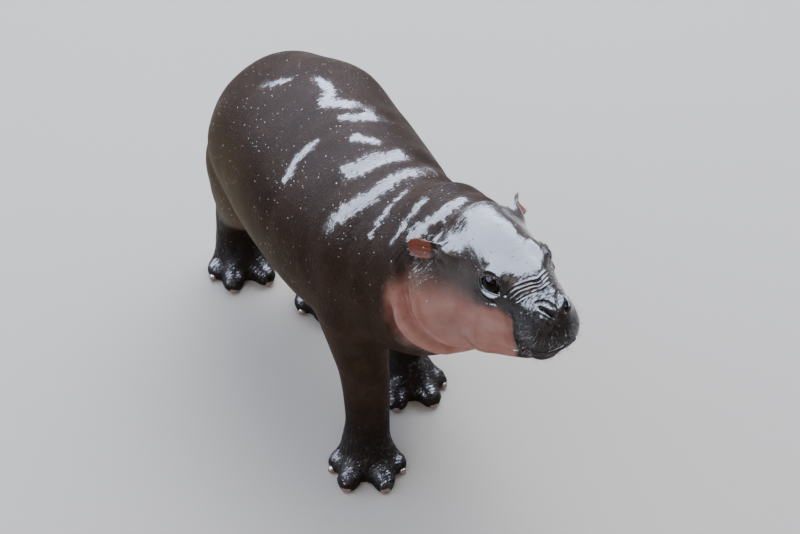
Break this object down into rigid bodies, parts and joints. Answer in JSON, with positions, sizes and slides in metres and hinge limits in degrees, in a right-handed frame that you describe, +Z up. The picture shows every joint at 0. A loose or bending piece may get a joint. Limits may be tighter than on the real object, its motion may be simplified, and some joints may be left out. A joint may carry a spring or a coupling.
{
  "type": "pygmy hippopotamus calf",
  "caption": "Standing pygmy hippopotamus calf at life size: barrel trunk, thick neck, raised head with laid-back ears, short tail and four-toed feet on flat soles.",
  "frame": {"origin": "on the floor, under the middle of the calf's box", "axes": "+Z up, the head towards -Y, the calf's left side towards +X"},
  "size_m": [0.2476, 0.6831, 0.4235],
  "materials": {
    "skin": "bare wet skin, grey-brown on the back and flanks, near black on muzzle and feet, pink on cheeks and throat",
    "eye": "wet dark brown eye with a clear cornea",
    "nail": "pinkish grey horn, worn smooth at the edge"
  },
  "bodies": {
    "root": {"ear_left": "skin", "ear_right": "skin", "eye_left": "eye", "eye_right": "eye", "fore_leg_left": "skin", "fore_leg_right": "skin", "fore_nail_left_1": "nail", "fore_nail_left_2": "nail", "fore_nail_left_3": "nail", "fore_nail_left_4": "nail", "fore_nail_right_1": "nail", "fore_nail_right_2": "nail", "fore_nail_right_3": "nail", "fore_nail_right_4": "nail", "head": "skin", "hind_leg_left": "skin", "hind_leg_right": "skin", "hind_nail_left_1": "nail", "hind_nail_left_2": "nail", "hind_nail_left_3": "nail", "hind_nail_left_4": "nail", "hind_nail_right_1": "nail", "hind_nail_right_2": "nail", "hind_nail_right_3": "nail", "hind_nail_right_4": "nail", "lower_jaw": "skin", "neck": "skin", "tail": "skin", "trunk": "skin"}
  },
  "joints": []
}
